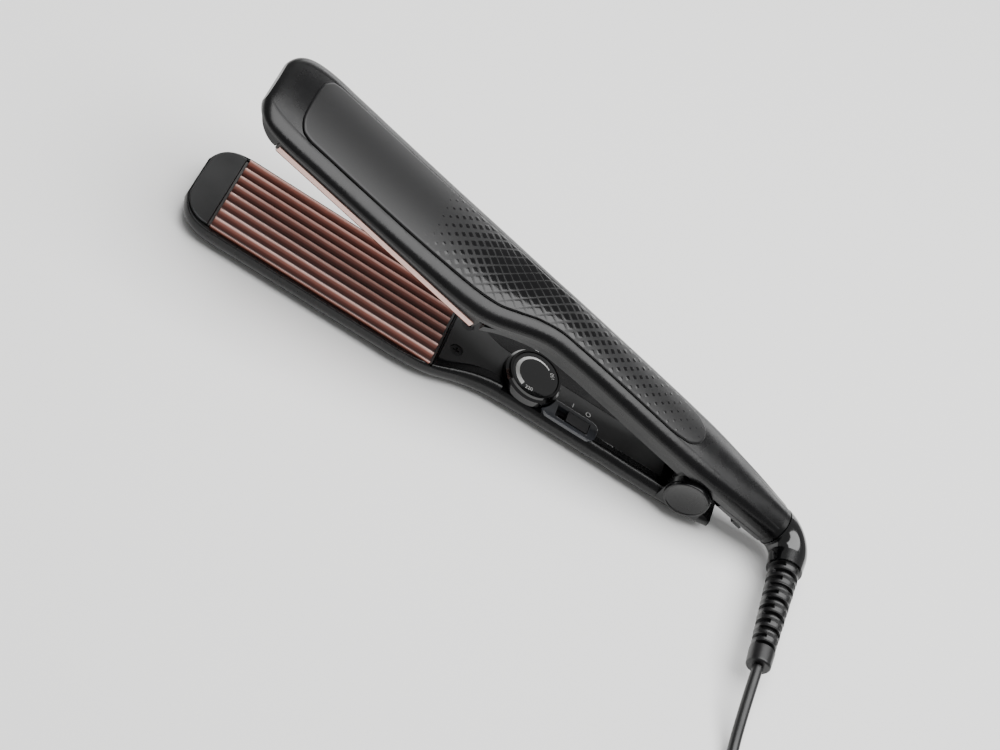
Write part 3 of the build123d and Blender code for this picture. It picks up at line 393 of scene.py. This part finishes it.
PANEL_OUTLINE = [
    (-0.8, 0.0),
    (-0.72, 4.0),
    (-0.5, 8.0),
    (0.1, 11.4),
    (1.0, 13.6),
    (3.4, 16.5),
    (8.0, 17.5),
    (60.0, 17.7),
    (96.0, 17.4),
    (110.0, 16.4),
    (120.0, 13.7),
    (130.0, 10.8),
    (142.0, 9.4),
    (180.0, 9.2),
    (205.0, 9.3),
    (217.0, 8.0),
    (221.8, 4.9),
    (222.9, 2.6),
    (223.3, 0.0),
]
PAD_PITCH = 5.87
PAD_ROW = 2.75
PAD_PLACE = 147.3

panel_along = np.concatenate(
    [
        -0.8 + 65 * np.linspace(0, 1, 46) ** 2,
        np.linspace(64.6, 217, 372),
        223.3 - 5.9 * np.linspace(1, 0, 20) ** 2,
    ]
)
(panel_half,) = eased(PANEL_OUTLINE, panel_along)
top_half, edge, crown = eased(PANEL_STATIONS, panel_along)
spread = np.linspace(-1, 1, 73)
panel_y = panel_half[:, None] * spread
panel_up = arc_height(panel_y, top_half[:, None], edge[:, None], crown[:, None])
pad_share = np.interp(
    panel_along,
    [66, 76, 90, 102, 118, 136, 150, 168, 190, 216],
    [0, 0.3, 0.58, 0.8, 0.86, 0.74, 0.6, 0.46, 0.34, 0.12],
)
lean = (panel_along[:, None] - PAD_PLACE) / PAD_PITCH
first, second = lean + panel_y / (2 * PAD_ROW), lean - panel_y / (2 * PAD_ROW)
from_middle = 2 * np.maximum(np.abs(first - np.round(first)), np.abs(second - np.round(second)))
pads = np.clip((pad_share[:, None] - from_middle) / 0.2 + 0.5, 0, 1) * (pad_share[:, None] > 0.02)
border = np.clip((1 - np.abs(spread)) * panel_half[:, None] / 0.5, 0, 1)
panel_up = panel_up - 0.12 + 0.05 * pads - 0.3 * (1 - border) ** 2

# Moulded ABS, satin from a fine spark-eroded tool, with the pads' tops polished: the pads catch the light
pad_abs = new_material("textured_abs", "060607", 0.4, IOR=1.56, Specular_IOR_Level=0.34)
pad_relief = add(pad_abs, "ShaderNodeAttribute", attribute_name="relief")
pad_shine = add(
    pad_abs, "ShaderNodeMapRange", {"Value": pad_relief.outputs["Fac"], "To Min": 0.4, "To Max": 0.1}
)
pad_shader = pad_abs.node_tree.nodes["Principled BSDF"]
pad_abs.node_tree.links.new(pad_shine.outputs["Result"], pad_shader.inputs["Roughness"])
trim_panel = mesh_piece(
    "trim_panel",
    opened(panel_along[:, None], panel_y, panel_up),
    "upper_arm",
    pad_abs,
    thick=1.0,
    values=pads,
)
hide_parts("upper_panel")

# Casings
# Injection-moulded glass-filled ABS, both arms: near black and satin, with the very fine grain of a
# spark-eroded tool, which spreads a light into a soft band along each rounded edge.
casing_abs = grain(
    new_material("moulded_abs", "050506", 0.27, IOR=1.54, Specular_IOR_Level=0.32), 0.35, 0.006, 0.27, 0.04
)
for node in ("upper_shell", "lower_shell", "rear_cover", "swivel_collar"):
    finish_node(node, casing_abs)

# Covers, tips and catch
# Heat-resistant PBT beside the plates and on the handles' inner sides: greyer and duller than the casings.
heat_pbt = grain(
    new_material("moulded_pbt", "0A0B0C", 0.4, IOR=1.56, Specular_IOR_Level=0.36), 0.3, 0.008, 0.4, 0.05
)
for node in (
    "upper_inner_cover",
    "upper_tip_block",
    "lower_tip_block",
    "lower_inner_cover",
    "hinge_knuckle",
    "lock_slider",
):
    finish_node(node, heat_pbt)

# Ribbed heating plates
# Extruded aluminium, ribbed along its length and coated in rose-copper ceramic. The coating's colour is
# painted light on the crests as a painted highlight and dark in the valleys as painted shade.
CREST_PITCH = 5.575
CREST_HEIGHT = 2.6
PLATE_HALF = 22.3
PLATE_GAP = 0.6
FACE_POINTS = 8 * 24 + 1


def rib_height(y):
    """Height of the ribbed face at y: a zigzag from crest 0 to valley -2.6 with rounded crests and valleys,
    made by the arcsine of a slightly flattened cosine."""
    wave = 0.985 * np.cos(2 * np.pi * y / CREST_PITCH)
    return CREST_HEIGHT * (np.arcsin(wave) / np.arcsin(0.985) - 1) / 2


ceramic_coat = new_material("ceramic_coating", "A0665A", 0.3, IOR=1.6, Metallic=0.25)
coat_depth = add(ceramic_coat, "ShaderNodeAttribute", attribute_name="relief")
coat_place = add(ceramic_coat, "ShaderNodeTexCoord")
coat_streak = add(
    ceramic_coat,
    "ShaderNodeMapping",
    {"Vector": coat_place.outputs["Object"], "Scale": (60.0, 900.0, 900.0)},
)
coat_noise = add(
    ceramic_coat,
    "ShaderNodeTexNoise",
    {"Vector": coat_streak.outputs["Vector"], "Scale": 1.0, "Detail": 3.0},
)
coat_mix = add(
    ceramic_coat,
    "ShaderNodeMath",
    {0: coat_noise.outputs["Fac"], 1: 0.16, 2: coat_depth.outputs["Fac"]},
    operation="MULTIPLY_ADD",
)
# Ramp over the height across the ribs: painted shade in the valleys, a painted highlight on the crests, plus
# random streaks from the noise
coat_painted_light_ramp = add(ceramic_coat, "ShaderNodeValToRGB", {"Fac": coat_mix.outputs["Value"]})
for stop, (spot, code) in enumerate([(0.05, "200B07"), (0.42, "5A2B22"), (0.8, "A2695C"), (1.0, "EDC4B9")]):
    stops = coat_painted_light_ramp.color_ramp.elements
    point = stops[stop] if stop < 2 else stops.new(spot)
    point.position = spot
    point.color = linear(code)
coat_bump = add(
    ceramic_coat,
    "ShaderNodeBump",
    {"Height": coat_noise.outputs["Fac"], "Distance": 0.00003, "Strength": 0.6},
)
coat_shader = ceramic_coat.node_tree.nodes["Principled BSDF"]
ceramic_coat.node_tree.links.new(coat_painted_light_ramp.outputs["Color"], coat_shader.inputs["Base Color"])
ceramic_coat.node_tree.links.new(coat_bump.outputs["Normal"], coat_shader.inputs["Normal"])


def plate_loop(back):
    """Outline of a plate across the arm: the ribbed face, with its outer crests' edges, and a flat back."""
    y = np.linspace(-PLATE_HALF, PLATE_HALF, FACE_POINTS)
    outline = np.column_stack([y, rib_height(y)])
    edge = np.array([[across, back] for across in (PLATE_HALF, 11.0, 0.0, -11.0, -PLATE_HALF)])
    wall = np.column_stack([np.full(6, PLATE_HALF), np.linspace(0, back, 8)[1:-1]])
    return np.vstack([outline, wall, edge, wall[::-1] * [-1, 1]])


def plate_points(loop):
    """The outline carried along the plate, with a 0.3 mm bevel at both ends, as along, y and up."""
    along = np.concatenate([[0.0, 0.12, 0.3], np.linspace(4, 106, 24), [109.7, 109.88, 110.0]])
    inset = np.interp(along, [0, 0.3, 109.7, 110], [0.25, 0, 0, 0.25])[:, None]
    y = loop[None, :, 0] * (1 - inset / PLATE_HALF)
    up = loop[None, :, 1] - np.sign(loop[None, :, 1] - loop[:, 1].mean()) * inset * 0.8
    return along[:, None] + 0 * y, y, up


lower_loop = plate_loop(-4.6)
lower_along, lower_y, lower_up = plate_points(lower_loop)
# Height across the ribs for the colour ramp: 1 on the crests for the painted highlight, 0 in the valleys for
# the painted shade
lower_painted_light = np.clip(1 + lower_up / CREST_HEIGHT, 0, 1)
lower_ribs = mesh_piece(
    "lower_ribs",
    np.stack([PLATE_FRONT + lower_along, lower_y, CLOSING_Z + lower_up], -1)[:, ::-1],
    "lower_arm",
    ceramic_coat,
    wrap=True,
    values=lower_painted_light[:, ::-1],
)
crease(lower_ribs, 50)
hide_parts("lower_plate")

# The upper plate faces down and follows the lower one 0.6 mm above it, so its ribs lie in the valleys
upper_loop = plate_loop(3.4)
upper_loop[:FACE_POINTS, 1] += PLATE_GAP
upper_along, upper_y, upper_up = plate_points(upper_loop)
# Upper plate: its downward crests get 1 for the painted highlight, its valleys 0 for the painted shade
upper_depth = np.clip((PLATE_GAP - upper_up) / CREST_HEIGHT, 0, 1)
# The upper plate's sides and back get 0.95: light copper along its edge, a painted highlight
upper_painted_light = np.where(upper_up > PLATE_GAP + 0.01, 0.95, upper_depth)
upper_ribs = mesh_piece(
    "upper_ribs",
    opened(upper_along, upper_y, upper_up),
    "upper_arm",
    ceramic_coat,
    wrap=True,
    values=upper_painted_light,
)
crease(upper_ribs, 50)
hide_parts("upper_plate")

# Plate carriers
# Brown-black phenolic frames behind the plates, dull and slightly mottled.
phenolic = grain(new_material("phenolic", "17120F", 0.6, IOR=1.6), 0.8, 0.03, 0.6, 0.08)
finish_node("lower_plate_carrier", phenolic)
finish_node("upper_plate_carrier", phenolic)

# Heaters, clamps and wiring
# Sealed inside the arms: alumina heater bars, sprung steel clamp strips and fibreglass-sleeved wires,
# and in the lower handle the board with the dial's potentiometer and the slide switch.
alumina = grain(new_material("alumina", "D6D2C8", 0.7, IOR=1.76), 0.3, 0.01, 0.7, 0.06)
spring_steel = grain(new_material("spring_steel", "8F8F8C", 0.3, Metallic=1.0), 0.4, 0.004, 0.3, 0.08)
sleeving = grain(new_material("fibreglass_sleeving", "D9D4C6", 0.75, IOR=1.5), 0.5, 0.05, 0.75, 0.05)
brass = grain(new_material("turned_brass", "C9A04E", 0.24, Metallic=1.0), 0.3, 0.003, 0.24, 0.06)
board_laminate = grain(new_material("glass_epoxy_board", "1F4A2A", 0.42, IOR=1.55), 0.7, 0.01, 0.42, 0.06)
moulded_nylon = grain(new_material("moulded_nylon", "1A1A1C", 0.5, IOR=1.53), 0.5, 0.01, 0.5, 0.06)
for node, material in (
    ("upper_heater", alumina),
    ("lower_heater", alumina),
    ("upper_heater_clamp", spring_steel),
    ("lower_heater_clamp", spring_steel),
    ("opening_spring", spring_steel),
    ("hinge_pin", spring_steel),
    ("dial_shaft", spring_steel),
    ("upper_wires", sleeving),
    ("lower_wires", sleeving),
    ("swivel_contacts", brass),
    ("circuit_board", board_laminate),
    ("board_components", moulded_nylon),
    ("potentiometer", moulded_nylon),
    ("switch_body", moulded_nylon),
):
    finish_node(node, material)

# Cover screws
# Black-oxide steel screws with a cross recess, sunk level with the cover.
black_oxide = grain(new_material("black_oxide_steel", "2A2A2B", 0.35, Metallic=0.8), 0.3, 0.004, 0.35, 0.08)
finish_node("cover_screws", black_oxide)

# Hinge caps
# Dished ABS discs pressed over the ends of the hinge pin: a rolled rim, a groove and a dish.
CAP_FROM = 14.85
# Radius, and distance outward from the ear, of the cap's profile from its rim to its middle
cap_profile = np.array(
    [
        (10.4, 0.0),
        (10.4, 1.3),
        (10.33, 1.55),
        (10.15, 1.75),
        (9.9, 1.83),
        (9.6, 1.8),
        (9.42, 1.66),
        (9.3, 1.45),
        (9.1, 1.38),
        *[(radius, 0.12 + 1.26 * (radius / 8.9) ** 2) for radius in np.linspace(8.9, 0.05, 24)],
    ]
)
cap_turn = np.linspace(0, 2 * np.pi, 129)[:-1]


def cap_points(side):
    """The profile of radius and height spun round the hinge's axis, outward on the given side."""
    radius, out = cap_profile[:, :1], cap_profile[:, 1:]
    turn = -side * cap_turn[None, :]
    return HINGE + np.stack(
        np.broadcast_arrays(radius * np.cos(turn), side * (CAP_FROM + out), radius * np.sin(turn)), -1
    )


for side, node in ((-1, "near_hinge_cap"), (1, "far_hinge_cap")):
    disc = node.replace("hinge_cap", "cap_disc")
    cap = mesh_piece(disc, cap_points(side), "lower_arm", casing_abs, wrap=True)
    crease(cap, 60)
    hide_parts(node)

# Temperature dial
# Polished ABS knob with a stepped rim, over a printed face: a white arc that grows with the heat,
# and the temperatures at its ends.
finish_node("temperature_dial", polished_abs)
dial_print = grain(
    new_material("polished_dial_face", "08090A", 0.08, IOR=1.54, Coat_Weight=1.0), 2.0, 0.001, 0.08, 0.02
)
finish_node("dial_face", dial_print)
# Pad-printing ink: flat, slightly warm white
print_ink = grain(new_material("printing_ink", "F6F6F4", 0.5, IOR=1.5), 0.3, 0.002, 0.55, 0.04)
DIAL = np.array([8.6, 0.0, 18.3])
FACE_UP = 17.84


def printed_arc(start, stop, inside, thin, thick):
    """Flat arc on the dial's face: its inner radius is fixed and its width grows along it."""
    turn = np.linspace(math.radians(start), math.radians(stop), 90)[:, None]
    width = np.linspace(thin, thick, 90)[:, None] * np.linspace(0, 1, 5)[None, :]
    radius = inside + width
    flat = np.stack([radius * np.cos(turn), radius * np.sin(turn), np.full(radius.shape, FACE_UP)], -1)
    return DIAL * [1, 1, 0] + flat


mesh_piece("heat_arc", printed_arc(52, 246, 7.9, 0.5, 2.3), "temperature_dial", print_ink)


def printed_text(name, words, size, centre, turn, body):
    """Printed characters as a flat mesh, centred on a point in millimetres and turned about the vertical."""
    font = bpy.data.curves.new(name, "FONT")
    font.body = words
    font.size = size / 1000
    font.align_x, font.align_y = "CENTER", "CENTER"
    typed = bpy.data.objects.new(name + "_typed", font)
    bpy.context.collection.objects.link(typed)
    bpy.context.view_layer.update()
    flat = bpy.data.meshes.new_from_object(typed.evaluated_get(bpy.context.evaluated_depsgraph_get()))
    bpy.data.objects.remove(typed)
    flat.transform(Matrix.Translation(np.array(centre) / 1000) @ Matrix.Rotation(math.radians(turn), 4, "Z"))
    flat.materials.clear()
    flat.materials.append(print_ink)
    made = bpy.data.objects.new(name, flat)
    bpy.context.collection.objects.link(made)
    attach(made, body)
    return made


for name, words, size, x, y, turn in (
    ("dial_mark_220", "220", 2.6, -0.4, -8.9, 8),
    ("dial_mark_150", "150", 2.4, 7.6, 4.2, 118),
):
    spot = (DIAL[0] + x, DIAL[1] + y, FACE_UP)
    printed_text(name, words, size, spot, turn, "temperature_dial")

# Slide switch
# A clear, smoke-tinted acrylic frame round the slot, a matt nylon slider, and printed marks beside it.
smoked_acrylic = grain(
    new_material("smoked_acrylic", "34363A", 0.1, IOR=1.49, Coat_Weight=0.6), 1.5, 0.002, 0.1, 0.03
)
finish_node("switch_bezel", smoked_acrylic)
finish_node("switch_slider", moulded_nylon)
COVER_UP = 12.94
printed_text("mark_on", "I", 3.4, (PLATE_FRONT + 176.6, 0.6, COVER_UP), 0, "lower_arm")
printed_text("mark_off", "O", 3.4, (PLATE_FRONT + 184.6, 0.6, COVER_UP), 0, "lower_arm")

# Table and light
# Plain pale table under a soft, even studio light.
table_top = bpy.data.meshes.new("table_top")
table_top.from_pydata([(-3, -3, 0), (3, -3, 0), (3, 3, 0), (-3, 3, 0)], [], [(0, 1, 2, 3)])
table_piece = bpy.data.objects.new("table_top", table_top)
bpy.context.collection.objects.link(table_piece)
table_piece.data.materials.append(new_material("pale_table", "F0F0EF", 0.6))


def soft_light(name, place, aim, width, depth, power):
    """Area light at a place, turned to aim at a point."""
    lamp = bpy.data.lights.new(name, "AREA")
    lamp.shape = "RECTANGLE"
    lamp.size = width
    lamp.size_y = depth
    lamp.energy = power
    made = bpy.data.objects.new(name, lamp)
    bpy.context.collection.objects.link(made)
    toward = np.array(aim) - np.array(place)
    made.location = place
    made.rotation_mode = "QUATERNION"
    made.rotation_quaternion = Vector(toward).to_track_quat("-Z", "Y")
    return made


soft_light("over_light", (0.25, 0.1, 1.1), (0.25, 0.1, 0.0), 1.6, 1.1, 34.0)
soft_light("back_light", (0.4, 1.7, 0.35), (0.0, 0.0, 0.0), 1.8, 0.5, 10.0)
world = bpy.data.worlds.new("studio")
bpy.context.scene.world = world
world.use_nodes = True
world.node_tree.nodes["Background"].inputs["Color"].default_value = (1.0, 1.0, 1.0, 1.0)
world.node_tree.nodes["Background"].inputs["Strength"].default_value = 0.35
